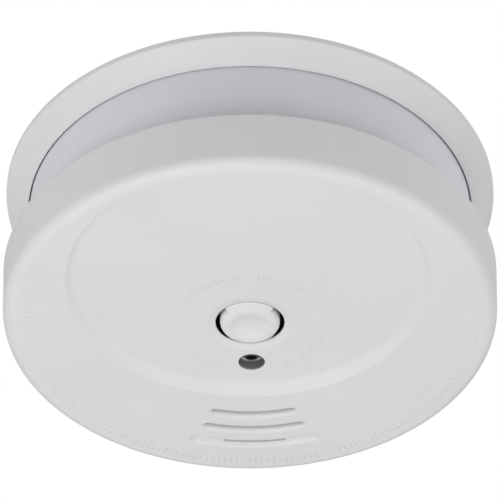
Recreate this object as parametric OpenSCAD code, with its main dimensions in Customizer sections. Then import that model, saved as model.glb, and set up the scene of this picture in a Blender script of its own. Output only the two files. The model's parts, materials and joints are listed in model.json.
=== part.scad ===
// Round ceiling smoke alarm on a twist-lock mounting plate.
// Millimetres, +Z up. The origin is the centre of the ceiling face, and the alarm hangs below it.
// -Y is the side without the horn, +Y the side with the horn slots.

/* [Outside] */
// Diameter of the mounting plate over its outer edge
plate_d = 108; // [107:0.5:112]
// Diameter of the front cover at its upper rim
cover_d = 107; // [106:0.5:109]
// Diameter of the neck between the plate and the cover
neck_d = 97.3; // [97:0.1:98]
// Height from the ceiling to the face of the cover
total_h = 36.2; // [36:0.1:38]
// Distance from the ceiling to the cover's upper rim
rim_depth = 22.8; // [22:0.1:23.5]
// Radius of the cover's lower corner
corner_r = 2.7; // [2:0.1:3.5]

/* [Mounting plate] */
// Height of the plate with its skirt
plate_h = 5.4; // [5:0.1:6]
// Thickness of the plate's web
web_t = 1.8; // [1.4:0.1:2]
// Distance between the two round screw holes
screw_pitch = 60; // [58:1:62]
// Diameter of the screw holes
screw_hole_d = 4.5; // [4:0.1:5]
// Diameter of the opening in the middle of the plate
opening_d = 44; // [38:1:46]
// Turn that frees the alarm from the plate, in degrees
twist = 18; // [12:1:20]

/* [Cover] */
// Wall thickness of the cover
cover_wall = 1.6; // [1.4:0.1:2]
// Diameter of the recess floor in the cover's face
recess_d = 75; // [70:1:78]
// Distance of the recess centre from the axis, towards -Y
recess_offset = 16; // [14:0.5:17]
// Depth of the recess at its +Y end
recess_depth = 1.5; // [1:0.1:1.6]
// Diameter of the test button's hole
button_hole_d = 14.9; // [14.5:0.1:15.5]
// Diameter of the status light's window
window_d = 5.7; // [5:0.1:6]
// Distance of the status light from the axis
window_y = 13.6; // [13:0.1:14.5]
// Width of the horn slots
slot_w = 1.3; // [1.2:0.1:1.8]
// Radius of the slots' rounded edges
slot_edge = 1; // [0.5:0.1:1]

/* [Test button] */
// Diameter of the button's cap
button_d = 12.9; // [12.5:0.1:13.2]
// Travel of the button
button_travel = 0.8; // [0.5:0.1:0.9]

/* [Inside] */
// Length of the battery's jacket
battery_l = 46.4; // [46:0.1:46.5]
// Width of the battery
battery_w = 26.5; // [26:0.1:26.5]
// Height of the battery
battery_h = 17.5; // [17:0.1:17.5]
// Diameter of the optical chamber
chamber_d = 38; // [36:1:39]
// Diameter of the horn
horn_d = 26.5; // [25:0.5:26.5]
// Thickness of the circuit board
pcb_t = 1.6; // [1.2:0.2:1.6]

/* [Hidden] */
$fn = 96;
e = 0.01;

// Levels, as distances below the ceiling
web_top = 2.2;
web_bottom = web_top + web_t;
back_top = web_bottom + 0.5;
back_t = 1.8;
back_bottom = back_top + back_t;
bay_floor_top = back_top + battery_h + 0.4;
bay_floor_bottom = bay_floor_top + 1.4;
pcb_top = bay_floor_bottom + 0.6;
pcb_bottom = pcb_top + pcb_t;
face_in = total_h - 2;

// Radii
neck_r = neck_d / 2;
neck_wall = 1.8;
neck_in = neck_r - neck_wall;
skirt_r = neck_r + 0.3;
web_r = plate_d / 2 - 3.4;
cover_r = cover_d / 2;
corner_out_r = cover_r - 0.4;
pcb_r = 45.5;

// Recess in the face: its floor is tilted, so that it runs out towards -Y
recess_flush_y = -45;
recess_tilt = atan(recess_depth / (recess_d / 2 - recess_offset - recess_flush_y));
recess_slope = 3.3;

// Test button: two tabs hold it behind the cover's inner face, and its stem stands on the switch's plunger
flap_half_span = 44;
tab_angles = [90, 270];
tab_span = 38;
tab_r = button_d / 2 + 1.85;
tab_seat = face_in - 1.1;
tab_top = tab_seat - 1.2;
stem_r = 2.4;
switch_body_h = 3.6;
switch_tip = pcb_bottom + switch_body_h + button_travel + 0.2;

// Twist lock
hook_angles = [90, 210, 330];
hook_span = 11;
hook_r = [42, 44];
hook_head_r = 46.6;

// Screws that hold the cover and the rear housing together, through the circuit board
housing_screw_xy = [[38, 9], [-38, 9], [31, -30], [-31, -30]];
well_r = 3.4;
screw_shank_r = 1.25;
well_seat = pcb_top - 1.8;

// Screws that hold the circuit board to the rear housing
board_screw_xy = [[38, -9], [-38, -9]];

// Battery bay
bay_w = battery_w + 0.8;
bay_l = 53.5;
bay_wall = 1.4;
bay_y = 20.2;
battery_x = -bay_l / 2 + 0.5;
terminal_y = 6.35;
contact_x = battery_x + battery_l + 2.9;

// Optical chamber
chamber_r = chamber_d / 2;
chamber_y = -23;
chamber_top = 8.4;
chamber_floor = pcb_top - 2.2;
optic_z = 17.4;
optic_angle = 30;
vane_count = 24;

// Horn
horn_r = horn_d / 2;
horn_y = 32;
horn_top = pcb_bottom + 1.2;
horn_bottom = face_in - 1.1;
disc_z = horn_top + 2.4;
crystal_t = 0.3;
horn_slots = [[31.1, 16.3, 16.3], [36.5, 16.8, 16.8], [41.9, 18.8, 9.1]];

// Smoke inlets
inlet_count = 24;
inlet_top = 19.4;
inlet_bottom = bay_floor_bottom - 0.2;

function arc(c, r, a0, a1, n = 12) =
    [for (i = [0:n]) let (a = a0 + (a1 - a0) * i / n) [c[0] + r * cos(a), c[1] + r * sin(a)]];

// A ring of square section, with its upper face at depth z0 and its lower face at depth z1
module ring(r_out, r_in, z0, z1) {
    translate([0, 0, -z1]) difference() {
        cylinder(r = r_out, h = z1 - z0);
        translate([0, 0, -e]) cylinder(r = r_in, h = z1 - z0 + 2 * e);
    }
}

module disc(r, z0, z1) {
    translate([0, 0, -z1]) cylinder(r = r, h = z1 - z0);
}

// A piece of a ring, centred on angle a
module sector(r_in, r_out, a, span, z0, z1) {
    rotate([0, 0, a - span / 2]) rotate_extrude(angle = span)
        translate([r_in, -z1]) square([r_out - r_in, z1 - z0]);
}

// A block given by its two corners in plan and its two depths
module block(x, y, z0, z1) {
    translate([x[0], y[0], -z1]) cube([x[1] - x[0], y[1] - y[0], z1 - z0]);
}

// A curved slot with round ends, on a circle of radius r
module arc_slot(r, w, a, half_span, z0, z1) {
    sector(r - w / 2, r + w / 2, a, 2 * half_span, z0, z1);
    for (s = [-1, 1]) rotate([0, 0, a + s * half_span]) translate([r, 0, 0]) disc(w / 2, z0, z1);
}

// ---------------------------------------------------------------- mounting plate

// The outer ring: an upright edge, a cone, and a lip that curves down to the neck
module plate_ring() {
    lip_r = 4.3;
    lip_end = -75;
    rotate_extrude() polygon(concat(
        [[web_r + 0.3, -web_top - 0.6], [plate_d / 2 - 1.6, -1.1], [plate_d / 2 - 1.6, 0]],
        arc([plate_d / 2 - 0.3, -0.3], 0.3, 90, 0, 4),
        arc([plate_d / 2 - 0.5, -1.2], 0.5, 0, -46, 5),
        arc([skirt_r + 0.15 - lip_r * cos(lip_end), -plate_h - lip_r * sin(lip_end)], lip_r, -46, lip_end, 8),
        [[skirt_r, -plate_h + 0.15], [skirt_r, -web_top - 0.65]]));
}

module mounting_plate() color("white") {
    pad_r = 5.4;
    difference() {
        union() {
            plate_ring();
            ring(skirt_r - 0.9, opening_d / 2, web_top, web_bottom);
            ring(web_r, skirt_r - 1.6, web_top + 0.05, web_top + 0.7);
            ring(opening_d / 2 + 1.6, opening_d / 2, 0, web_bottom);
            ring(40.6, 39.4, 0.6, web_bottom - 0.2);
            for (a = [15:30:345]) if (a % 120 != 75) rotate([0, 0, a])
                block([opening_d / 2 + 1, plate_d / 2 - 1.4], [-0.6, 0.6], 0.6, web_top + 0.3);
            for (s = [-1, 1]) translate([s * screw_pitch / 2, 0, 0]) disc(pad_r + 1.4, 0, web_bottom);
            for (a = [90, 270]) arc_slot(screw_pitch / 2 + 2, 2 * pad_r + 2, a, 17, 0, web_bottom);
        }
        disc(opening_d / 2, -1, 9);
        for (s = [-1, 1]) translate([s * screw_pitch / 2, 0, 0]) {
            disc(screw_hole_d / 2, -1, 9);
            disc(pad_r, 1.6, 9);
        }
        for (a = [90, 270]) {
            arc_slot(screw_pitch / 2 + 2, screw_hole_d, a, 17, -1, 9);
            arc_slot(screw_pitch / 2 + 2, 2 * pad_r - 1, a, 17, 1.6, 9);
        }
        for (a = hook_angles) {
            sector(hook_r[0] - 0.5, hook_r[1] + 0.5, a - twist / 2, hook_span + twist + 2, -1, 9);
            sector(hook_r[0] - 0.5, hook_head_r + 0.5, a - twist, hook_span + 2, -1, 9);
        }
    }
}

// ---------------------------------------------------------------- rear housing

module battery_bay_outer() {
    block([-bay_l / 2 - bay_wall, bay_l / 2 + bay_wall],
        [bay_y - bay_w / 2 - bay_wall, bay_y + bay_w / 2 + bay_wall], back_top, bay_floor_bottom);
}

module battery_bay_inner() {
    block([-bay_l / 2, bay_l / 2], [bay_y - bay_w / 2, bay_y + bay_w / 2], back_top - 1, bay_floor_top);
    translate([battery_x + battery_l - 8, bay_y - bay_w / 2 - 3, 0]) disc(9, back_top - 1, back_top + 1);
}

module hook() {
    span = hook_span - 1;
    sector(hook_r[0], hook_r[1], 0, span, 0.5, back_top + 0.5);
    sector(hook_r[0], hook_head_r, 0, span, 0.5, web_top - 0.3);
}

module rear_housing() color("whitesmoke") {
    difference() {
        union() {
            rotate_extrude() polygon(concat(
                [[10, -back_bottom], [10, -back_top]],
                arc([neck_r - 0.6, -back_top - 0.6], 0.6, 90, 0, 5),
                [[neck_r, -pcb_bottom], [neck_in, -pcb_bottom]],
                arc([neck_in - 1.2, -back_bottom - 1.2], 1.2, 0, 90, 5)));
            disc(11, back_top, back_bottom);
            battery_bay_outer();
            for (p = housing_screw_xy) translate([p[0], p[1], 0]) disc(well_r, back_top + e, pcb_top);
            for (p = board_screw_xy) translate([p[0], p[1], 0]) disc(2.6, back_top + e, pcb_top);
            ring(neck_in + e, neck_in - 1.1, pcb_top - 1.2, pcb_top);
            for (a = hook_angles) rotate([0, 0, a]) hook();
            for (x = [-30, -10, 10, 30])
                block([x - 0.6, x + 0.6], [-34, 5], back_bottom - e, back_bottom + 1.4);
        }
        battery_bay_inner();
        for (p = housing_screw_xy) translate([p[0], p[1], 0]) {
            disc(well_r - 0.8, -1, well_seat);
            disc(screw_shank_r + 0.2, -1, 40);
        }
        for (p = board_screw_xy) translate([p[0], p[1], 0]) disc(1, pcb_top - 9, 40);
        for (i = [0:inlet_count - 1]) rotate([0, 0, (i + 0.5) * 360 / inlet_count])
            block([neck_in - 0.3, neck_r + 1], [-4.6, 4.6], inlet_top, inlet_bottom);
        for (s = [-1, 1]) block([contact_x - 0.4, contact_x + 1.6],
            [bay_y + s * terminal_y - 2.4, bay_y + s * terminal_y + 2.4], bay_floor_top - 1, 40);
    }
}

// ---------------------------------------------------------------- front cover

// Puts its children in the tilted frame of the recess floor
module on_recess_floor() {
    translate([0, recess_flush_y, -total_h]) rotate([recess_tilt, 0, 0])
        translate([0, -recess_flush_y - recess_offset, 0]) children();
}

// The recess: a tilted disc with a soft foot and a gently sloping side
module recess_cutter() {
    r = recess_d / 2 - 0.8;
    on_recess_floor() rotate_extrude() polygon([[0, -6], [0, 0], [r, 0], [r + 0.8, -0.15],
        [r + recess_slope, -1.4], [r + 2.3 * recess_slope, -3.6], [r + 2.3 * recess_slope, -6]]);
}

// The rounded edge of a hole in a face at depth level, from the hole's wall at x to clear of the face; a
// shallow groove starts part way round the edge, at angle from
function lip(x, level, edge, from = 180) = concat(arc([x + edge, -level + edge], edge, from, 255, 6),
    [[x + edge + 1.8, -level - 0.5], [x + edge + 1.8, -level - 2]]);

function mirrored(points) = [for (i = [len(points) - 1:-1:0]) [-points[i][0], points[i][1]]];

// The horn slot's cutter: a curved slot with rounded edges; a slot whose open_span is shorter than its
// half_span is a shallow groove that only opens through the face in its middle
module horn_slot(r, half_span, open_span) {
    groove = open_span < half_span;
    start = groove ? 195 : 180;
    through = groove ? [] : [[slot_w / 2, -face_in + 3]];
    side = concat(through, lip(slot_w / 2, total_h, slot_edge, start));
    rotate([0, 0, 90 - half_span]) rotate_extrude(angle = 2 * half_span)
        translate([r, 0]) polygon(concat(side, mirrored(side)));
    for (s = [-1, 1]) rotate([0, 0, 90 + s * half_span]) translate([r, 0, -0.05]) rotate_extrude()
        polygon(concat([[0, side[0][1]]], [for (p = side) [p[0] - 0.08, p[1]]], [[0, -total_h - 2]]));
    if (groove) arc_slot(r, slot_w - 0.5, 90, open_span, face_in - 2, total_h - 0.2);
}

module cover_shell() {
    c = corner_out_r - corner_r;
    inner_r = corner_out_r - cover_wall;
    rotate_extrude() polygon(concat(
        [[0, -total_h]],
        arc([c, -total_h + corner_r], corner_r, -90, 0, 14),
        arc([cover_r - 0.5, -rim_depth - 0.5], 0.5, 0, 90, 5),
        arc([cover_r - cover_wall + 0.3, -rim_depth - 0.3], 0.3, 90, 180, 3),
        arc([inner_r - 1.4, -face_in + 1.4], 1.4, 0, -90, 6),
        [[42.5, -face_in], [42, -face_in + 0.5], [27.5, -face_in + 0.5], [27, -face_in + 1.1],
         [0, -face_in + 1.1]]));
}

module front_cover() color("white") {
    difference() {
        union() {
            cover_shell();
            for (a = tab_angles)
                sector(tab_r + 0.15, tab_r + 1.2, a, tab_span + 6, tab_top - 1.2, tab_seat + 0.05);
            translate([0, window_y, 0]) disc(window_d / 2 + 1.6, total_h - 3.6, total_h - 2.5);
            ring(neck_in + 1.5, neck_in, pcb_bottom + 0.2, face_in + e);
            for (p = housing_screw_xy) translate([p[0], p[1], 0]) disc(2.6, pcb_bottom, face_in + e);
            for (a = [0:15:345]) rotate([0, 0, a])
                block([neck_in + 1.4, corner_out_r - 1], [-0.5, 0.5], total_h - 7, face_in + e);
        }
        recess_cutter();
        button_hole();
        translate([0, window_y, 0]) disc(window_d / 2 + 0.05, 20, 50);
        for (s = horn_slots) horn_slot(s[0], s[1], s[2]);
        for (p = housing_screw_xy) translate([p[0], p[1], 0]) disc(screw_shank_r, 20, face_in - 0.6);
    }
}

// The button's hole, with a shallow cone round it that follows the tilted floor; at both sides the face is
// thinner
module button_hole() {
    r = button_hole_d / 2;
    disc(r, 20, 50);
    for (a = [0, 180]) sector(r - 1, r + 1.2, a, 104, face_in - 2, face_in + 0.1);
    on_recess_floor() translate([0, recess_offset, 0]) rotate_extrude()
        polygon([[r - 1, 0.7], [r + 2.2, -0.1], [r + 2.2, -3], [r - 1, -3]]);
}

// Depth of the recess floor below the outer face, at a distance y from the axis
function recess_at(y) = (y - recess_flush_y) * tan(recess_tilt);

// ---------------------------------------------------------------- test button and its switch

// A round cap with a dish; towards -Y a flap fills the hole over a quarter turn
module test_button() color("white") {
    r = button_d / 2;
    rim = 1.5;
    crown = total_h - 0.3;
    dish = 0.95;
    dish_r = 10;
    flap_r = button_hole_d / 2 - 0.12;
    rotate_extrude() polygon(concat(
        arc([0, -crown + dish - dish_r], dish_r, 90, 65, 8),
        arc([r - rim, -crown + rim], rim, -100, 0, 12),
        [[r, -tab_top], [stem_r, -tab_top], [stem_r, -switch_tip + 0.2], [stem_r - 0.2, -switch_tip],
         [0, -switch_tip]]));
    rotate([0, 0, 270 - flap_half_span]) rotate_extrude(angle = 2 * flap_half_span) polygon(concat(
        [[r - 1.4, -tab_top - 0.1], [r - 1.4, -crown + 0.13], [flap_r - 0.25, -crown + 0.6]],
        arc([flap_r - 0.3, -crown + 0.92], 0.3, -60, 0, 4),
        [[flap_r, -tab_top - 0.1]]));
    for (a = tab_angles) sector(r - 1, tab_r, a, tab_span, tab_top + 0.05, tab_seat - 0.15);
}

module switch_body() color("dimgray") {
    difference() {
        union() {
            block([-3, 3], [-3, 3], pcb_bottom, pcb_bottom + switch_body_h - 0.3);
            block([-2.6, 2.6], [-2.6, 2.6], pcb_bottom, pcb_bottom + switch_body_h);
        }
        disc(1.8, pcb_bottom + 1, 50);
    }
    for (x = [-1, 1]) for (y = [-1, 1]) {
        block([x * 3.1 - 0.35, x * 3.1 + 0.35], [y * 2.2 - 0.4, y * 2.2 + 0.4], pcb_bottom - pcb_t - 0.8,
            pcb_bottom + 1.2);
    }
}

module switch_plunger() color("black") {
    rotate_extrude() polygon([[0, -pcb_bottom - 2.2], [1.75, -pcb_bottom - 2.2], [1.75, -switch_tip + 0.3],
        [1.5, -switch_tip + 0.05], [0, -switch_tip + 0.05]]);
}

// ---------------------------------------------------------------- status light

module status_led() color("firebrick") {
    translate([0, window_y, 0]) {
        disc(1.9, pcb_bottom, pcb_bottom + 1);
        disc(1.5, pcb_bottom, pcb_bottom + 3.4);
        translate([0, 0, -pcb_bottom - 3.4]) sphere(r = 1.5);
        for (s = [-1, 1]) block([s * 1.27 / 1.2 - 0.25, s * 1.27 / 1.2 + 0.25], [-0.25, 0.25],
            pcb_top - 0.4, pcb_bottom + 0.2);
    }
}

// The lens stands in its hole, and its dome reaches a little out of it
module led_window() color("dimgray") {
    level = total_h - recess_at(window_y);
    r = window_d / 2;
    dome_r = 9;
    dome_rise = 0.3;
    translate([0, window_y, 0]) rotate_extrude() polygon(concat(
        arc([0, -level - dome_rise + dome_r], dome_r, -90, -acos((r - 0.15) / dome_r), 8),
        [[r, -level + 0.3], [r, -total_h + 3.6], [r + 1, -total_h + 3.6], [r + 1, -total_h + 4.6],
         [0, -total_h + 4.6]]));
}

// ---------------------------------------------------------------- fasteners

module cross_screw(head_r, head_h, shank_r, shank_l) {
    difference() {
        union() {
            intersection() {
                cylinder(r = head_r, h = head_h);
                translate([0, 0, head_h - 6]) sphere(r = 6);
            }
            translate([0, 0, -shank_l]) cylinder(r = shank_r, h = shank_l + e);
        }
        for (a = [0, 90]) rotate([0, 0, a])
            translate([-head_r * 0.6, -0.25, head_h - 1.1]) cube([head_r * 1.2, 0.5, 2]);
    }
}

module housing_screws() color("silver") {
    for (p = housing_screw_xy) translate([p[0], p[1], -well_seat])
        cross_screw(2.4, 1.7, screw_shank_r, face_in - 1.4 - well_seat);
}

module board_screws() color("silver") {
    for (p = board_screw_xy) translate([p[0], p[1], -pcb_bottom]) rotate([180, 0, 0])
        cross_screw(2.2, 1.5, 1, 8);
}

// ---------------------------------------------------------------- circuit board

module circuit_board() color("seagreen") {
    difference() {
        disc(pcb_r, pcb_top, pcb_bottom);
        for (p = housing_screw_xy) translate([p[0], p[1], 0]) disc(screw_shank_r + 0.2, 0, 50);
        for (p = board_screw_xy) translate([p[0], p[1], 0]) disc(1, 0, 50);
        for (a = [45, 135]) rotate([0, 0, a]) translate([pcb_r + 1, 0, 0]) disc(3, 0, 50);
        for (x = [-1, 1]) for (y = [-1, 1])
            block([x * 3.1 - 0.4, x * 3.1 + 0.4], [y * 2.2 - 0.45, y * 2.2 + 0.45], 0, 50);
        for (s = [-1, 1]) translate([s * 1.06, window_y, 0]) disc(0.45, 0, 50);
        for (s = [-1, 1]) block([contact_x - 0.1, contact_x + 0.7],
            [bay_y + s * terminal_y - 1.6, bay_y + s * terminal_y + 1.6], 0, 50);
        optic_holes();
        for (s = [-1, 1]) translate([26, s * 2.5 - 20, 0]) disc(0.45, 0, 50);
        for (p = coil_pins) translate([-27 + p[0], -20 + p[1], 0]) disc(0.5, 0, 50);
    }
}

coil_pins = [[-3, -3], [3, -3], [0, 3]];

module optic_holes() {
    for (s = [-1, 1]) for (t = [-1, 1])
        translate([0, chamber_y, 0]) rotate([0, 0, 90 + s * (90 - optic_angle)])
            translate([optic_back, t * 1.27, 0]) disc(0.45, 0, 50);
}

module controller_chip() color("black") {
    translate([17, -33, 0]) {
        block([-5, 5], [-3.2, 3.2], pcb_bottom + 0.4, pcb_bottom + 3.4);
        for (i = [0:7]) for (s = [-1, 1])
            block([-4.45 + i * 1.27 - 0.25, -4.45 + i * 1.27 + 0.25], [s * 3.9 - 0.8, s * 3.9 + 0.8],
                pcb_bottom, pcb_bottom + 1.2);
    }
}

module storage_capacitor() color("midnightblue") {
    translate([26, -20, 0]) {
        rotate_extrude() polygon(concat(
            [[0, -pcb_bottom - 0.1], [3.9, -pcb_bottom - 0.1], [4, -pcb_bottom - 0.4], [4, -pcb_bottom - 1.2],
             [3.7, -pcb_bottom - 1.5], [4, -pcb_bottom - 1.8]],
            arc([3.6, -pcb_bottom - 6.3], 0.4, 0, -90, 4), [[0, -pcb_bottom - 6.7]]));
        for (s = [-1, 1]) translate([0, s * 2.5, 0]) disc(0.3, pcb_top - 1, pcb_bottom + 0.2);
    }
}

module horn_coil() color("orange") {
    translate([-27, -20, 0]) {
        disc(5, pcb_bottom + 0.3, pcb_bottom + 1.3);
        disc(3.6, pcb_bottom + 1, pcb_bottom + 6);
        disc(5, pcb_bottom + 5.6, pcb_bottom + 6.8);
        for (p = coil_pins) translate([p[0], p[1], 0]) disc(0.35, pcb_top - 1, pcb_bottom + 0.5);
    }
}

module chip_resistors() color("black") {
    for (i = [0:5]) {
        block([-12 + i * 3 - 1, -12 + i * 3 + 1], [-11.6, -10.4], pcb_bottom, pcb_bottom + 0.55);
        block([-14.6, -13.4], [-40 + i * 3 - 1, -40 + i * 3 + 1], pcb_bottom, pcb_bottom + 0.55);
    }
}

// ---------------------------------------------------------------- optical chamber

optic_r = 2.5;
optic_front = 6.5;
optic_back = 16.2;

// Puts its children on the axis of the emitter (s = -1) or of the receiver (s = 1)
module on_optic(s) {
    translate([0, chamber_y, -optic_z]) rotate([0, 0, 90 + s * (90 - optic_angle)])
        rotate([0, 90, 0]) children();
}

module chamber_base() color("black") {
    difference() {
        union() {
            translate([0, chamber_y, 0]) {
                disc(chamber_r, chamber_floor, pcb_top);
                ring(chamber_r - 5.2, chamber_r - 6.2, chamber_floor - 1.2, chamber_floor + e);
            }
            for (s = [-1, 1]) translate([0, chamber_y, 0]) rotate([0, 0, 90 + s * (90 - optic_angle)])
                block([optic_front - 0.5, optic_back - 1.6], [-3.7, 3.7], optic_z - 3.6, chamber_floor + e);
        }
        for (s = [-1, 1]) {
            on_optic(s) {
                translate([0, 0, optic_front + 2]) cylinder(r = optic_r + 0.05, h = 12);
                cylinder(r = 1.7, h = 12);
            }
            translate([0, chamber_y, 0]) rotate([0, 0, 90 + s * (90 - optic_angle)])
                block([optic_back - 0.7, optic_back + 0.7], [-2, 2], 5, 40);
        }
        for (a = [0:120:240]) translate([0, chamber_y, 0]) rotate([0, 0, a + 30])
            translate([chamber_r - 2.6, 0, 0]) disc(0.9, 0, 40);
    }
}

module labyrinth_cap() color("black") {
    translate([0, chamber_y, 0]) {
        disc(chamber_r, chamber_top, chamber_top + 1.4);
        ring(chamber_r - 2, chamber_r - 3, chamber_top + 1.4 - e, chamber_top + 2.2);
        for (i = [0:vane_count - 1]) rotate([0, 0, i * 360 / vane_count])
            labyrinth_vane(vane_depth(i));
        for (i = [0:5]) ring(3 + i * 1.6 + 0.5, 3 + i * 1.6, chamber_top + 1.4 - e, chamber_top + 2);
    }
}

// The vanes over the two holders are cut short
function vane_depth(i) = let (a = i * 360 / vane_count)
    (abs(a - optic_angle) < 21 || abs(a - (180 - optic_angle)) < 21) ? optic_z - 4 : chamber_floor - 0.3;

module labyrinth_vane(depth) {
    translate([chamber_r - 0.5, 0, 0]) rotate([0, 0, 152])
        block([0, 3.4], [0, 0.7], chamber_top + 1.3, depth);
    translate([chamber_r - 3.2, 1.2, 0]) rotate([0, 0, 235])
        block([0, 2.2], [0, 0.7], chamber_top + 1.3, depth);
}

module insect_screen() color("silver") {
    translate([0, chamber_y, 0]) difference() {
        ring(chamber_r + 0.6, chamber_r + 0.2, chamber_top, chamber_floor + 0.6);
        for (i = [0:35]) for (z = [0:2]) rotate([0, 0, i * 10])
            block([chamber_r - 1, chamber_r + 2], [-1.25, 1.25],
                chamber_top + 1 + z * 4.4, chamber_top + 4.8 + z * 4.4);
    }
}

module optic_diode() {
    translate([0, 0, optic_front + 2.1]) {
        translate([0, 0, 2.4]) cylinder(r = optic_r, h = 3.4);
        translate([0, 0, 2.45]) sphere(r = optic_r);
        translate([0, 0, 3.9]) cylinder(r = optic_r, h = 2);
    }
}

module optic_leads(s) {
    for (t = [-1, 1]) {
        on_optic(s) translate([0, t * 1.27, optic_front + 7.8]) translate([-0.25, -0.25, 0])
            cube([0.5, 0.5, optic_back - optic_front - 7.8 + 0.25]);
        translate([0, chamber_y, 0]) rotate([0, 0, 90 + s * (90 - optic_angle)])
            block([optic_back - 0.25, optic_back + 0.25], [t * 1.27 - 0.25, t * 1.27 + 0.25], optic_z - 0.25,
                pcb_bottom + 0.8);
    }
}

module infrared_emitter() color("lightsteelblue") {
    on_optic(-1) optic_diode();
    optic_leads(-1);
}

module photodiode() color("black") {
    on_optic(1) optic_diode();
    optic_leads(1);
}

module receiver_shield() color("silver") {
    translate([0, chamber_y, 0]) rotate([0, 0, 90 + (90 - optic_angle)]) difference() {
        block([optic_back - 1.3, optic_back + 1.3], [-3.6, 3.6], optic_z - 3.6, chamber_floor);
        block([optic_back - 2, optic_back + 0.9], [-3.2, 3.2], optic_z - 3.2, 40);
    }
}

// ---------------------------------------------------------------- horn

module horn_housing() color("ivory") {
    translate([0, horn_y, 0]) {
        ring(horn_r, horn_r - 1.2, horn_top, horn_bottom);
        ring(horn_r - 1, horn_r - 2.6, disc_z + 0.4, disc_z + 1.2);
        difference() {
            disc(horn_r - 1, disc_z + 2.2, disc_z + 3);
            disc(3.2, 0, 50);
            for (a = [0:60:300]) rotate([0, 0, a]) translate([9, 0, 0]) disc(1.2, 0, 50);
        }
    }
}

module horn_disc() color("goldenrod") {
    translate([0, horn_y, 0]) disc(horn_r - 1.5, disc_z, disc_z + 0.4);
}

module horn_crystal() color("gainsboro") {
    translate([0, horn_y, 0]) disc(9.5, disc_z - crystal_t, disc_z);
}

module horn_contacts() color("silver") {
    for (x = [-6, 0, 10.6]) translate([x, horn_y - 0.6, 0]) {
        block([-0.9, 0.9], [-1, 3], pcb_bottom, pcb_bottom + 0.3);
        block([-0.9, 0.9], [2.7, 3], pcb_bottom, pcb_bottom + 1.6);
        block([-0.9, 0.9], [-0.6, 3], pcb_bottom + 1.4, pcb_bottom + 1.7);
        block([-0.9, 0.9], [-0.6, -0.3], pcb_bottom + 1.4, abs(x) < 9 ? disc_z - crystal_t : disc_z);
    }
}

// ---------------------------------------------------------------- battery

module battery_jacket() color("darkorange") {
    translate([battery_x + 1.2, bay_y, -back_top - 0.2 - battery_h / 2]) rotate([0, 90, 0])
        linear_extrude(battery_l - 2.4) rounded_rect(battery_h, battery_w, 2);
}

module rounded_rect(a, b, r) {
    square([a - 2 * r, b], center = true);
    square([a, b - 2 * r], center = true);
    for (x = [-1, 1]) for (y = [-1, 1]) translate([x * (a / 2 - r), y * (b / 2 - r)]) circle(r);
}

module battery_cap() color("black") {
    for (x = [0, battery_l - 1.2]) translate([battery_x + x, bay_y, -back_top - 0.2 - battery_h / 2])
        rotate([0, 90, 0]) linear_extrude(1.2) rounded_rect(battery_h - 0.8, battery_w - 0.8, 1.8);
}

module battery_terminals() color("silver") {
    translate([battery_x + battery_l, bay_y, -back_top - 0.2 - battery_h / 2]) rotate([0, 90, 0]) {
        translate([0, -terminal_y, 0]) cylinder(r = 2.8, h = 2.6);
        translate([0, terminal_y, 0]) difference() {
            cylinder(r = 4, h = 2.6);
            translate([0, 0, 0.6]) cylinder(r = 2.9, h = 3);
        }
    }
}

module battery_contacts() color("silver") {
    z = back_top + 0.2 + battery_h / 2;
    for (s = [-1, 1]) {
        block([contact_x, contact_x + 0.5], [bay_y + s * terminal_y - 4, bay_y + s * terminal_y + 4],
            z - 5, z + 5);
        block([contact_x, contact_x + 0.5], [bay_y + s * terminal_y - 1.4, bay_y + s * terminal_y + 1.4], z,
            pcb_bottom + 0.8);
    }
    translate([contact_x, bay_y, -z]) rotate([0, -90, 0]) {
        translate([0, terminal_y, 0]) cylinder(r = 2.6, h = 2.2);
        translate([0, -terminal_y, 0]) difference() {
            cylinder(r = 3.6, h = 2.2);
            translate([0, 0, -1]) cylinder(r = 2.95, h = 4);
        }
    }
}

module contact_carrier() color("dimgray") {
    z = back_top + 0.2 + battery_h / 2;
    difference() {
        block([contact_x + 0.5, bay_l / 2],
            [bay_y - bay_w / 2 + 0.2, bay_y + bay_w / 2 - 0.2], back_top + 0.6, bay_floor_top);
        for (s = [-1, 1]) block([contact_x, contact_x + 0.9],
            [bay_y + s * terminal_y - 1.6, bay_y + s * terminal_y + 1.6], z + 5, 50);
    }
}

mounting_plate();
rear_housing();
front_cover();
test_button();
led_window();
housing_screws();
circuit_board();
board_screws();
switch_body();
switch_plunger();
status_led();
controller_chip();
storage_capacitor();
horn_coil();
chip_resistors();
chamber_base();
labyrinth_cap();
insect_screen();
infrared_emitter();
photodiode();
receiver_shield();
horn_housing();
horn_disc();
horn_crystal();
horn_contacts();
battery_jacket();
battery_cap();
battery_terminals();
battery_contacts();
contact_carrier();
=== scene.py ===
"""Ceiling smoke detector, seen from below: materials, fine detail, light and camera round the CAD model."""
import json
import math

import bmesh
import bpy
from mathutils import Matrix, Vector


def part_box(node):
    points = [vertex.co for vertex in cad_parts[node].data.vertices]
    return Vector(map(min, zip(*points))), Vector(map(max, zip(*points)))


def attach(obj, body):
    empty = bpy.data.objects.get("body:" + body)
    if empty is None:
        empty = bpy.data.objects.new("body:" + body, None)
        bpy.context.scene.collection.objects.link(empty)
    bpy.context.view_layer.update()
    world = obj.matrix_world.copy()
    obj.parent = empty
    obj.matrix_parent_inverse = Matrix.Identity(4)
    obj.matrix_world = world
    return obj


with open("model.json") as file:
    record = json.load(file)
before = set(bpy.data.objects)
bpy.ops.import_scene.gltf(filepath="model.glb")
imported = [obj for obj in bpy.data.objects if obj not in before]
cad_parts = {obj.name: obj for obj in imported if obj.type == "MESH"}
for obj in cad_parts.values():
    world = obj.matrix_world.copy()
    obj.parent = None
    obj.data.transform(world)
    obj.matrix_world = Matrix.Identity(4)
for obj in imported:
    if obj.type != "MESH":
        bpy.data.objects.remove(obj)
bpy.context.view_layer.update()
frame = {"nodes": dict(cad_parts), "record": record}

MM = 0.001
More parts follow.
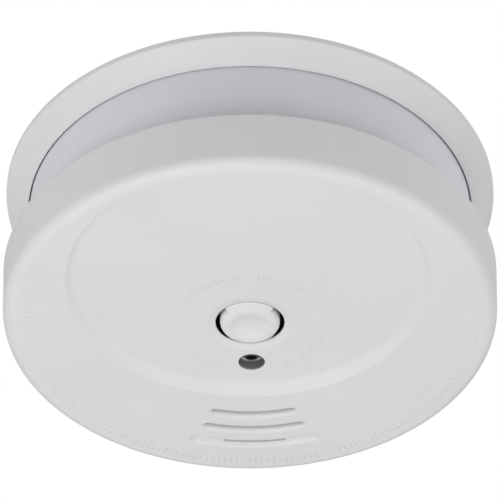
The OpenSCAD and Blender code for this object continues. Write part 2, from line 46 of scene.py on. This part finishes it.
nodes = frame["nodes"]
scene = bpy.context.scene


# ---------------------------------------------------------------- camera

# The view that fits the photograph: from 40 degrees below the ceiling, turned a little about the axis
CAMERA_TURN = math.radians(1.5)
CAMERA_RISE = math.radians(40.0)
CAMERA_OUT = 504.1 * MM
CAMERA_DOWN = 437.3 * MM
LENS_MM = 216.0
SENSOR_MM = 36.0
LEVEL = math.radians(90)


def make_camera():
    """A long lens below and in front of the detector, looking up."""
    data = bpy.data.cameras.new("camera")
    data.sensor_width = SENSOR_MM
    data.lens = LENS_MM
    data.clip_start = 0.01
    data.clip_end = 100.0
    camera = bpy.data.objects.new("camera", data)
    camera.location = (
        CAMERA_OUT * math.sin(CAMERA_TURN), -CAMERA_OUT * math.cos(CAMERA_TURN), -CAMERA_DOWN)
    camera.rotation_euler = (LEVEL + CAMERA_RISE, 0, CAMERA_TURN)
    scene.collection.objects.link(camera)
    scene.camera = camera


make_camera()


# ---------------------------------------------------------------- node helpers

BEVEL_SAMPLES = 6


class Shader:
    """A node material under construction: a Principled shader plus short calls that add and link nodes."""

    def __init__(self, name, colour, roughness, **sockets):
        self.material = bpy.data.materials.new(name)
        self.material.use_nodes = True
        self.material.diffuse_color = (*colour, 1)
        self.tree = self.material.node_tree
        self.shader = self.tree.nodes["Principled BSDF"]
        self.set("Base Color", (*colour, 1))
        self.set("Roughness", roughness)
        for socket, value in sockets.items():
            self.set(socket.replace("_", " "), value)
        self.place = self.node("ShaderNodeTexCoord").outputs["Object"]

    def set(self, socket, value):
        self.shader.inputs[socket].default_value = value

    def node(self, kind, inputs=(), **settings):
        made = self.tree.nodes.new(kind)
        for key, value in settings.items():
            setattr(made, key, value)
        for socket, value in dict(inputs).items():
            self.feed(made.inputs[socket], value)
        return made

    def feed(self, socket, value):
        if isinstance(value, bpy.types.NodeSocket):
            self.tree.links.new(value, socket)
        else:
            socket.default_value = value

    def noise(self, size_mm, detail=2.0, roughness=0.5, place=None):
        """Noise with features about size_mm across."""
        return self.node("ShaderNodeTexNoise", {
            "Vector": place or self.place, "Scale": 1 / (size_mm * MM), "Detail": detail,
            "Roughness": roughness}).outputs["Fac"]

    def ramp(self, value, low, high, start=0.3, end=0.7):
        """value from start..end mapped to low..high."""
        return self.node("ShaderNodeMapRange", {
            "Value": value, "From Min": start, "From Max": end,
            "To Min": low, "To Max": high}).outputs["Result"]

    def blend(self, factor, a, b):
        """Colour a to b by factor."""
        mix = self.node("ShaderNodeMix", data_type="RGBA")
        self.feed(mix.inputs["Factor"], factor)
        self.feed(mix.inputs["A"], (*a, 1) if isinstance(a, tuple) else a)
        self.feed(mix.inputs["B"], (*b, 1) if isinstance(b, tuple) else b)
        return mix.outputs["Result"]

    def stretch(self, scale):
        """The object's coordinates scaled along each axis, for rolled, woven and wrinkled surfaces."""
        return self.node("ShaderNodeMapping", {"Vector": self.place, "Scale": scale}).outputs[0]

    def math(self, operation, a, b=0.0):
        made = self.node("ShaderNodeMath", operation=operation)
        self.feed(made.inputs[0], a)
        self.feed(made.inputs[1], b)
        return made.outputs[0]

    def link(self, socket, value):
        self.tree.links.new(value, self.shader.inputs[socket])

    def bump(self, heights, edge_mm=0.0):
        """Bumps from (height, depth in mm) pairs, on top of edges rounded by edge_mm."""
        normal = None
        if edge_mm:
            bevel = self.node("ShaderNodeBevel", {"Radius": edge_mm * MM}, samples=BEVEL_SAMPLES)
            normal = bevel.outputs["Normal"]
        for height, depth_mm in heights:
            made = self.node("ShaderNodeBump", {"Height": height, "Distance": depth_mm * MM})
            if normal is not None:
                self.tree.links.new(normal, made.inputs["Normal"])
            normal = made.outputs["Normal"]
        self.link("Normal", normal)


def shift(colour, by):
    """The colour made lighter or darker by a factor."""
    return tuple(min(1.0, c * by) for c in colour)


# ---------------------------------------------------------------- materials

def moulded_plastic(name, colour, roughness, grain_mm=0.35, grain_depth=0.012, edge_mm=0.2, **sockets):
    """Injection-moulded plastic: spark-eroded grain, a faint flow mottle and slightly polished high spots."""
    s = Shader(name, colour, roughness, **sockets)
    flow = s.noise(28, detail=3, roughness=0.6)
    mottle = s.noise(3.5, detail=2)
    grain = s.noise(grain_mm, detail=3, roughness=0.65)
    tone = s.blend(s.ramp(flow, 0, 1), shift(colour, 0.975), shift(colour, 1.012))
    s.link("Base Color", s.blend(s.ramp(mottle, 0.0, 0.35), tone, shift(colour, 0.985)))
    polish = s.math("ADD", s.ramp(flow, -0.03, 0.03), s.ramp(grain, -0.05, 0.05))
    s.link("Roughness", s.math("ADD", polish, roughness))
    s.bump([(grain, grain_depth), (mottle, grain_depth * 1.5)], edge_mm)
    return s.material


# The painted shade patch on the status light's lens, where its inside lies in shadow: half its width and
# depth, and how far it lies off the middle
LENS_SHADE_HALF = (1.25 * MM, 0.58 * MM)
LENS_SHADE_SHIFT = 1.75 * MM
# Colours of the painted shade patch and of the painted highlight round it
LENS_PAINTED_SHADE_COLOUR = (0.002, 0.002, 0.002)
LENS_PAINTED_HIGHLIGHT_COLOUR = (0.34, 0.33, 0.34)


def smoked_lens(name):
    """Polished smoked acrylic, with a near-black painted shade patch where the light's inside lies in shadow
    and a paler painted highlight band on the far side of that patch.
    """
    colour = (0.03, 0.028, 0.032)
    s = Shader(name, colour, 0.12, IOR=1.49, Coat_Roughness=0.06)
    low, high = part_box("led_window")
    shade_y = (low.y + high.y) / 2 - LENS_SHADE_SHIFT
    # Coordinates in which the painted shade patch is the unit circle
    from_shade = s.node("ShaderNodeMapping", {
        "Vector": s.place, "Location": (0, -shade_y / LENS_SHADE_HALF[1], 0),
        "Scale": (1 / LENS_SHADE_HALF[0], 1 / LENS_SHADE_HALF[1], 0)}).outputs[0]
    distance = s.node("ShaderNodeVectorMath", {0: from_shade}, operation="LENGTH").outputs["Value"]
    outside_shade = s.ramp(distance, 0, 1, 0.85, 1.15)
    # The painted highlight is a band round the painted shade patch, brighter towards its two ends like
    # glints, and gone on the near side
    across = s.node("ShaderNodeSeparateXYZ", {"Vector": from_shade})
    far_side = s.ramp(across.outputs["Y"], 0, 1, -0.3, 0.6)
    ends = s.ramp(s.math("ABSOLUTE", across.outputs["X"]), 0.45, 1, 0.5, 1.2)
    inner_edge = s.ramp(distance, 0, 1, 1.0, 1.4)
    outer_edge = s.ramp(distance, 1, 0, 1.5, 2.2)
    painted_highlight = s.math("MULTIPLY", s.math("MULTIPLY", inner_edge, far_side), s.math("MULTIPLY", outer_edge, ends))
    ripple = s.noise(2.2, detail=1)
    lens = s.blend(s.ramp(ripple, 0, 1), shift(colour, 0.8), shift(colour, 1.3))
    # Painted shade patch and painted highlight band laid over the smoked tint
    s.link("Base Color", s.blend(painted_highlight, s.blend(outside_shade, LENS_PAINTED_SHADE_COLOUR, lens), LENS_PAINTED_HIGHLIGHT_COLOUR))
    s.link("Specular IOR Level", s.ramp(outside_shade, 0.08, 0.5, 0, 1))
    s.link("Coat Weight", s.ramp(outside_shade, 0, 0.5, 0, 1))
    s.link("Roughness", s.ramp(s.noise(0.8), 0.09, 0.17))
    s.bump([(ripple, 0.02)])
    return s.material


def clear_resin(name, colour):
    """Cast epoxy of an LED or an infrared diode: tinted, glossy, faintly cloudy inside."""
    s = Shader(name, colour, 0.1, IOR=1.54, Transmission_Weight=0.45, Coat_Weight=0.5)
    cloud = s.noise(1.1, detail=2)
    s.link("Base Color", s.blend(s.ramp(cloud, 0, 1), shift(colour, 0.8), shift(colour, 1.15)))
    s.link("Roughness", s.ramp(cloud, 0.07, 0.16))
    s.bump([(s.noise(0.6), 0.004)])
    return s.material


def plated_steel(name):
    """Nickel-plated strip and screws: fine rolling lines and a few dull patches."""
    colour = (0.62, 0.62, 0.64)
    s = Shader(name, colour, 0.3, Metallic=1.0)
    lines = s.noise(0.25, detail=2, place=s.stretch((1, 0.06, 0.06)))
    patch = s.noise(6, detail=3)
    s.link("Base Color", s.blend(s.ramp(patch, 0, 1), shift(colour, 0.85), shift(colour, 1.1)))
    s.link("Roughness", s.math("ADD", s.ramp(lines, 0.18, 0.34), s.ramp(patch, -0.04, 0.06)))
    s.bump([(lines, 0.004)], 0.08)
    return s.material


def rolled_brass(name):
    """The horn's disc: fine rolling lines under a slight tarnish."""
    colour = (0.78, 0.57, 0.27)
    s = Shader(name, colour, 0.3, Metallic=1.0)
    lines = s.noise(0.3, detail=2, place=s.stretch((0.05, 1, 1)))
    tarnish = s.noise(7, detail=4, roughness=0.6)
    s.link("Base Color", s.blend(s.ramp(tarnish, 0, 1), shift(colour, 0.78), shift(colour, 1.05)))
    s.link("Roughness", s.math("ADD", s.ramp(lines, 0.22, 0.36), s.ramp(tarnish, -0.05, 0.1)))
    s.bump([(lines, 0.004)])
    return s.material


def solder_mask(name):
    """Green lacquer over glass weave and copper tracks: the tracks show as slightly lighter raised bands."""
    colour = (0.03, 0.19, 0.09)
    s = Shader(name, colour, 0.3, Coat_Weight=0.35, Coat_Roughness=0.15)
    cells = s.node("ShaderNodeTexVoronoi", {"Vector": s.place, "Scale": 1 / (4.5 * MM), "Randomness": 0.35},
                   feature="DISTANCE_TO_EDGE", distance="EUCLIDEAN").outputs["Distance"]
    tracks = s.ramp(cells, 1, 0, 0.09, 0.12)
    weave = s.noise(0.45, detail=1, place=s.stretch((1, 3, 1)))
    s.link("Base Color", s.blend(tracks, shift(colour, 0.8), (0.06, 0.3, 0.13)))
    s.link("Roughness", s.ramp(weave, 0.24, 0.38))
    s.bump([(tracks, 0.03), (weave, 0.008)])
    return s.material


def sleeve(name, colour, roughness):
    """Shrunk film over a can: glossy, with faint wrinkles round it."""
    s = Shader(name, colour, roughness, Coat_Weight=0.2)
    wrinkle = s.noise(1.2, detail=2, place=s.stretch((0.4, 0.4, 1.6)))
    s.link("Base Color", s.blend(s.ramp(wrinkle, 0, 1), shift(colour, 0.85), shift(colour, 1.2)))
    s.link("Roughness", s.ramp(wrinkle, roughness - 0.07, roughness + 0.08))
    s.bump([(wrinkle, 0.015)])
    return s.material


def enamelled_wire(name):
    """Copper winding: bands of turns round the coil."""
    colour = (0.55, 0.22, 0.08)
    s = Shader(name, colour, 0.28, Metallic=0.9, Coat_Weight=0.5)
    turns = s.node("ShaderNodeTexWave", {"Vector": s.place, "Scale": 1 / (1.9 * MM), "Distortion": 0.15},
                   wave_type="BANDS", bands_direction="Z").outputs["Fac"]
    s.link("Base Color", s.blend(turns, shift(colour, 0.55), shift(colour, 1.15)))
    s.link("Roughness", s.ramp(s.noise(2), 0.22, 0.36))
    s.bump([(turns, 0.06)])
    return s.material


def silvered_ceramic(name):
    """The horn's crystal: sintered ceramic under a thin silver electrode."""
    colour = (0.74, 0.73, 0.70)
    s = Shader(name, colour, 0.45, Metallic=0.35)
    sinter = s.noise(0.5, detail=4, roughness=0.7)
    s.link("Base Color", s.blend(s.ramp(sinter, 0, 1), shift(colour, 0.9), shift(colour, 1.05)))
    s.link("Roughness", s.ramp(sinter, 0.38, 0.55))
    s.bump([(sinter, 0.008)])
    return s.material


BAND_EDGE = (14.2 * MM, 14.3 * MM)


def painted_can(name):
    """Dark lacquered steel jacket with a paler band round its terminal end."""
    dark = (0.045, 0.05, 0.06)
    band = (0.42, 0.43, 0.45)
    s = Shader(name, dark, 0.32, Coat_Weight=0.4, Coat_Roughness=0.2)
    along = s.node("ShaderNodeSeparateXYZ", {"Vector": s.place}).outputs["X"]
    paint = s.blend(s.ramp(along, 0, 1, *BAND_EDGE), dark, band)
    orange_peel = s.noise(0.9, detail=2)
    s.link("Base Color", s.blend(s.ramp(s.noise(9, detail=3), 0, 0.12), paint, (0.09, 0.09, 0.1)))
    s.link("Roughness", s.ramp(orange_peel, 0.26, 0.4))
    s.bump([(orange_peel, 0.01)])
    return s.material


MATERIALS = {
    "white_plastic": moulded_plastic("white_plastic", (0.812, 0.793, 0.815), 0.46),
    # plate_plastic and neck_plastic are painted light: lighter copies of the same white plastic, the neck
    # clearly lighter and the plate only slightly, to brighten parts the lamps leave too dark
    "plate_plastic": moulded_plastic("plate_plastic", (0.815, 0.795, 0.818), 0.46),
    "neck_plastic": moulded_plastic("neck_plastic", (0.84, 0.818, 0.86), 0.5),
    "button_plastic": moulded_plastic("button_plastic", (0.825, 0.805, 0.828), 0.38, grain_depth=0.006),
    "smoked_lens": smoked_lens("smoked_lens"),
    "led_red": clear_resin("led_red", (0.55, 0.05, 0.05)),
    "steel": plated_steel("steel"),
    "board_green": solder_mask("board_green"),
    "black_plastic": moulded_plastic("black_plastic", (0.022, 0.022, 0.024), 0.62, grain_depth=0.02),
    "dark_epoxy": moulded_plastic("dark_epoxy", (0.04, 0.04, 0.045), 0.5, grain_mm=0.15, edge_mm=0.08),
    "capacitor_sleeve": sleeve("capacitor_sleeve", (0.03, 0.045, 0.16), 0.28),
    "coil_copper": enamelled_wire("coil_copper"),
    "clear_tint": clear_resin("clear_tint", (0.55, 0.6, 0.72)),
    "horn_plastic": moulded_plastic("horn_plastic", (0.72, 0.70, 0.62), 0.45),
    "brass": rolled_brass("brass"),
    "ceramic": silvered_ceramic("ceramic"),
    "battery_paint": painted_can("battery_paint"),
}

SHARP_ANGLE = math.radians(32)
FLAT_FACE_WEIGHT = 80


def dress_cad_nodes():
    """Every CAD node keeps its mesh and gets its slot's material, smooth curved faces and crisp flat ones."""
    for part in frame["record"]["subparts"]:
        piece = nodes[part["node"]]
        mesh = piece.data
        mesh.materials.clear()
        mesh.materials.append(MATERIALS[part["material_slot"]])
        mesh.polygons.foreach_set("use_smooth", [True] * len(mesh.polygons))
        mesh.set_sharp_from_angle(angle=SHARP_ANGLE)
        weighted = piece.modifiers.new("flat_faces_stay_flat", "WEIGHTED_NORMAL")
        weighted.weight = FLAT_FACE_WEIGHT
        weighted.keep_sharp = True


dress_cad_nodes()


# ---------------------------------------------------------------- raised ticks round the button and the face

FACE_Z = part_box("front_cover")[0].z

# The recess's floor is flush with the face at its near edge and lies RECESS_DEPTH above it at its far edge
RECESS_DEPTH = 1.5 * MM
RECESS_FLUSH_Y = -45 * MM
RECESS_FAR_Y = 21.5 * MM
RECESS_SLOPE = RECESS_DEPTH / (RECESS_FAR_Y - RECESS_FLUSH_Y)

TICK_HEIGHT = 0.1 * MM
TICK_ROOT = 0.05 * MM
TICK_SIDES = 12
LONG_TICK_EVERY = 5
LONG_TICK = 1.45
INNER_TICKS = {
    "radius": 16.2 * MM, "pitch": 1.2 * MM, "length": 1.4 * MM, "width": 0.38 * MM, "in_recess": True}
INNER_ARCS = ((118, 262), (-82, 62))
OUTER_TICKS = {
    "radius": 48.1 * MM, "pitch": 1.4 * MM, "length": 1.8 * MM, "width": 0.36 * MM, "in_recess": False}
OUTER_ARC = (-18, 198)


def face_height(x, y, in_recess):
    """Height of the cover's face, or of the floor of its tilted recess, above the point (x, y)."""
    return FACE_Z + ((y - RECESS_FLUSH_Y) * RECESS_SLOPE if in_recess else 0.0)


def add_tick(bm, radius, angle, length, width, in_recess):
    """A low rounded bar that points to the axis, with its root sunk into the face."""
    out = Vector((math.cos(angle), math.sin(angle), 0))
    side = Vector((-math.sin(angle), math.cos(angle), 0))
    rings = []
    for spread, rise in ((1.0, -TICK_ROOT), (0.86, TICK_HEIGHT * 0.75), (0.6, TICK_HEIGHT)):
        half_length = length / 2 - width * (1 - spread) / 2
        half_width = width / 2 * spread
        ring = []
        for step in range(TICK_SIDES):
            t = 2 * math.pi * step / TICK_SIDES
            along = math.copysign(abs(math.cos(t)) ** 0.45, math.cos(t)) * half_length
            across = math.copysign(abs(math.sin(t)) ** 0.8, math.sin(t)) * half_width
            p = out * (radius + along) + side * across
            ring.append(bm.verts.new((p.x, p.y, face_height(p.x, p.y, in_recess) - rise)))
        rings.append(ring)
    for low, high in zip(rings, rings[1:]):
        for i in range(TICK_SIDES):
            j = (i + 1) % TICK_SIDES
            bm.faces.new((low[j], low[i], high[i], high[j]))
    bm.faces.new(rings[0])
    bm.faces.new(reversed(rings[-1]))


def add_ticks(bm, arc, radius, pitch, length, width, in_recess):
    """Ticks along an arc given in degrees, each fifth one longer."""
    start, end = arc
    count = round(math.radians(end - start) * radius / pitch)
    for i in range(count + 1):
        angle = math.radians(start + (end - start) * i / count)
        longer = LONG_TICK if i % LONG_TICK_EVERY == 0 else 1.0
        add_tick(bm, radius, angle, length * longer, width, in_recess)


def piece_on_cover(name, bm):
    """The mesh as a smooth piece of white plastic that moves with the cover."""
    mesh = bpy.data.meshes.new(name)
    bm.to_mesh(mesh)
    bm.free()
    mesh.polygons.foreach_set("use_smooth", [True] * len(mesh.polygons))
    piece = bpy.data.objects.new(name, mesh)
    scene.collection.objects.link(piece)
    mesh.materials.append(MATERIALS["white_plastic"])
    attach(piece, "detector_head")


def face_ticks():
    """Generic ticks in a ring round the button and in a ring near the edge of the face."""
    bm = bmesh.new()
    for arc in INNER_ARCS:
        add_ticks(bm, arc, **INNER_TICKS)
    add_ticks(bm, OUTER_ARC, **OUTER_TICKS)
    bmesh.ops.recalc_face_normals(bm, faces=bm.faces)
    piece_on_cover("face_ticks", bm)


face_ticks()


# ---------------------------------------------------------------- moulding mark on the cover's rim

NIB_ANGLE = math.radians(-83.9)
NIB_SIZE = Vector((0.45, 1.1, 0.7)) * MM
NIB_SINK = 0.05 * MM


def rim_nib():
    """The stub that the moulding gate leaves on the upper rim of the cover."""
    low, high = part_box("front_cover")
    radius = (high.x - low.x) / 2 - NIB_SIZE.x * 0.6
    bm = bmesh.new()
    bmesh.ops.create_uvsphere(bm, u_segments=20, v_segments=12, radius=0.5)
    place = Matrix.Rotation(NIB_ANGLE, 4, "Z") @ Matrix.Translation((radius, 0, high.z - NIB_SINK))
    bmesh.ops.transform(bm, matrix=place @ Matrix.Diagonal((*NIB_SIZE, 1)), verts=bm.verts)
    piece_on_cover("rim_nib", bm)


rim_nib()


# ---------------------------------------------------------------- studio

LEFT_LIGHT = 0.59
RIGHT_LIGHT = 0.82
OVERHEAD_LIGHT = 0.48
SOFTBOX_SIZE = 0.45
SOFTBOX_DISTANCE = 0.68
SOFTBOX_AIM = Vector((0, 0, -0.02))
FLOOR_HALF = 60.0
FLOOR_Z = -0.75
FLOOR_COLOUR = (0.88, 0.88, 0.88)


def make_floor():
    """A pale matt floor far below the detector, which throws light back up at it."""
    mesh = bpy.data.meshes.new("floor")
    corners = [(x * FLOOR_HALF, y * FLOOR_HALF, FLOOR_Z) for x, y in ((-1, -1), (1, -1), (1, 1), (-1, 1))]
    mesh.from_pydata(corners, [], [(0, 1, 2, 3)])
    floor = bpy.data.objects.new("floor", mesh)
    scene.collection.objects.link(floor)
    s = Shader("floor", FLOOR_COLOUR, 0.9)
    s.link("Roughness", s.ramp(s.noise(40), 0.85, 0.95))
    mesh.materials.append(s.material)


def make_world():
    """White to the camera; as light, bright on the left and the right, and softer from above."""
    world = bpy.data.worlds.new("studio")
    world.use_nodes = True
    tree = world.node_tree
    tree.nodes.clear()
    new = tree.nodes.new
    link = tree.links.new

    def calculate(operation, a, b):
        """The output of a maths node fed with two sockets or numbers."""
        made = new("ShaderNodeMath")
        made.operation = operation
        for socket, value in zip(made.inputs, (a, b)):
            if isinstance(value, bpy.types.NodeSocket):
                link(value, socket)
            else:
                socket.default_value = value
        return made.outputs[0]

    direction = new("ShaderNodeSeparateXYZ")
    link(new("ShaderNodeTexCoord").outputs["Generated"], direction.inputs[0])
    x, _, z = direction.outputs
    right = calculate("MAXIMUM", calculate("MULTIPLY", x, RIGHT_LIGHT), 0.0)
    left = calculate("MAXIMUM", calculate("MULTIPLY", x, -LEFT_LIGHT), 0.0)
    up = calculate("MAXIMUM", z, 0.0)
    overhead = calculate("MULTIPLY", calculate("MULTIPLY", up, up), OVERHEAD_LIGHT)
    light = new("ShaderNodeBackground")
    light.inputs["Color"].default_value = (1, 1, 1, 1)
    link(calculate("ADD", calculate("ADD", left, right), overhead), light.inputs["Strength"])
    seen = new("ShaderNodeBackground")
    seen.inputs["Color"].default_value = (1, 1, 1, 1)
    mix = new("ShaderNodeMixShader")
    link(new("ShaderNodeLightPath").outputs["Is Camera Ray"], mix.inputs["Fac"])
    link(light.outputs[0], mix.inputs[1])
    link(seen.outputs[0], mix.inputs[2])
    link(mix.outputs[0], new("ShaderNodeOutputWorld").inputs["Surface"])
    scene.world = world


def add_softbox(name, direction, power):
    """A square softbox that looks at the detector and stays out of the picture."""
    data = bpy.data.lights.new(name, "AREA")
    data.shape = "SQUARE"
    data.size = SOFTBOX_SIZE
    data.energy = power
    box = bpy.data.objects.new(name, data)
    towards = Vector(direction).normalized()
    box.location = SOFTBOX_AIM + towards * SOFTBOX_DISTANCE
    box.rotation_mode = "QUATERNION"
    box.rotation_quaternion = towards.to_track_quat("Z", "Y")
    box.visible_camera = False
    scene.collection.objects.link(box)


make_floor()
make_world()
add_softbox("front", (-0.42, -0.58, -0.7), 1.38)
add_softbox("left", (-0.7, -0.2, -0.7), 0.47)
add_softbox("right", (0.7, -0.2, -0.7), 0.88)
scene.view_settings.view_transform = "Standard"
scene.view_settings.look = "None"
